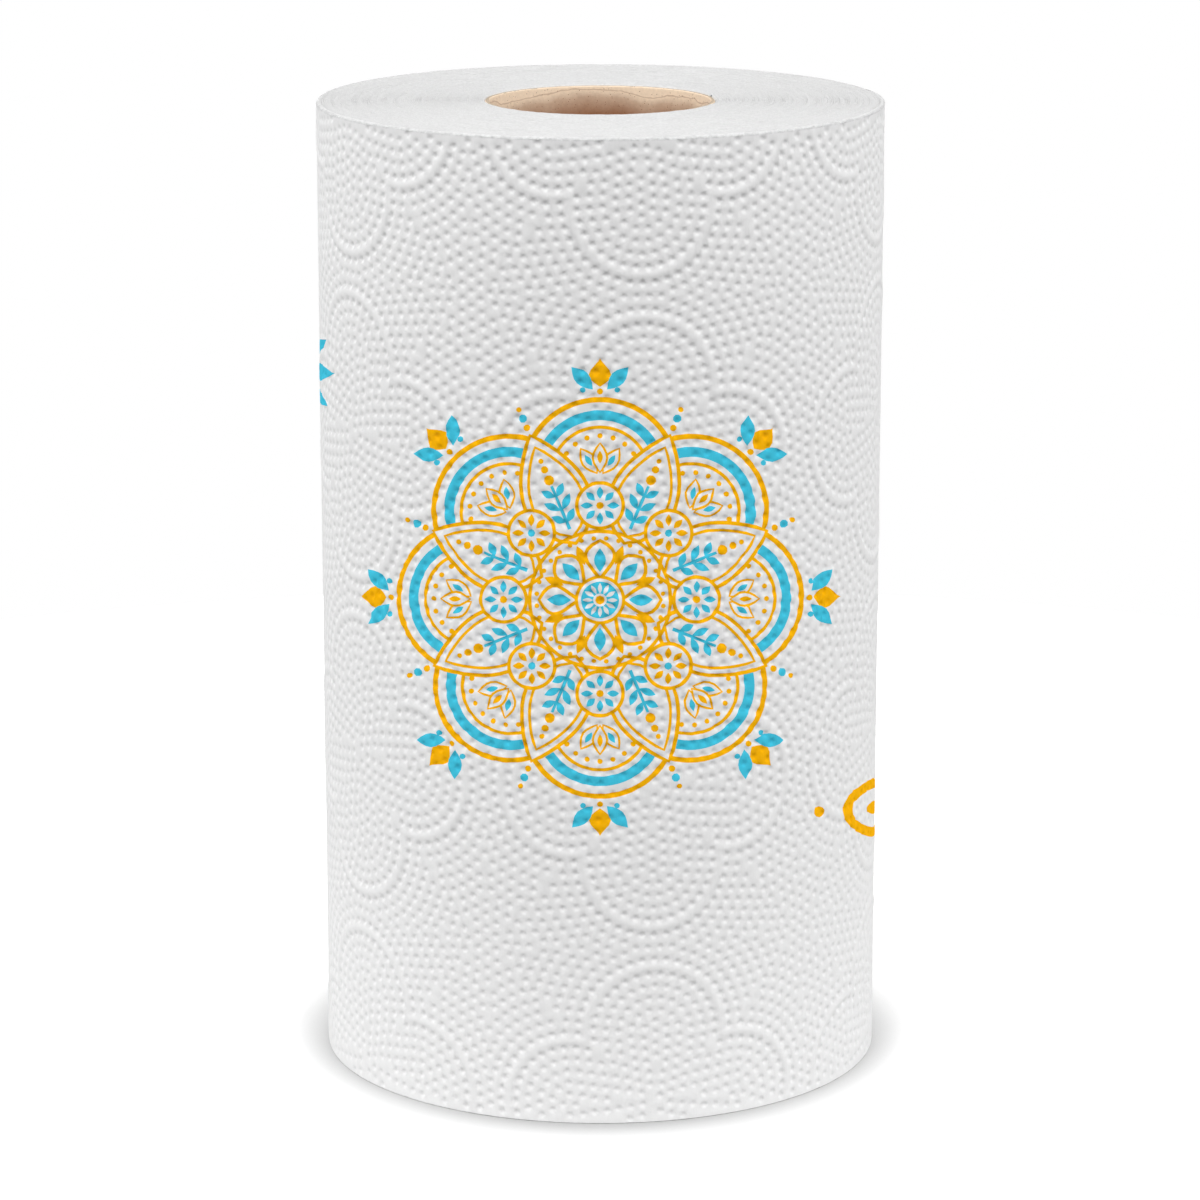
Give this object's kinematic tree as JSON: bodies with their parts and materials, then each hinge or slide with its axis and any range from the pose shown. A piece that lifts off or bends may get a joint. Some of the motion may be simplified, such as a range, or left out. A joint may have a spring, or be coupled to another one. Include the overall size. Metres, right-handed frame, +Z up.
{
  "type": "paper towel roll",
  "caption": "Upright roll of white embossed kitchen paper wound on a board tube, with an orange and blue printed rosette; sheets pull off its side while a spindle holds the tube.",
  "frame": {"origin": "on the core's axis, in the plane of the end that the roll stands on", "axes": "+Z up along the core, -Y towards the front with the printed rosette, +X to the right seen from the front"},
  "size_m": [0.1274, 0.1272, 0.22],
  "materials": {
    "embossed_paper": "soft matte two-ply tissue, embossed with small dimples, printed in orange and blue",
    "core_board": "matte uncoated tube board, spirally wound"
  },
  "bodies": {
    "root": {"paper_roll": "embossed_paper", "core_tube": "core_board"}
  },
  "joints": []
}
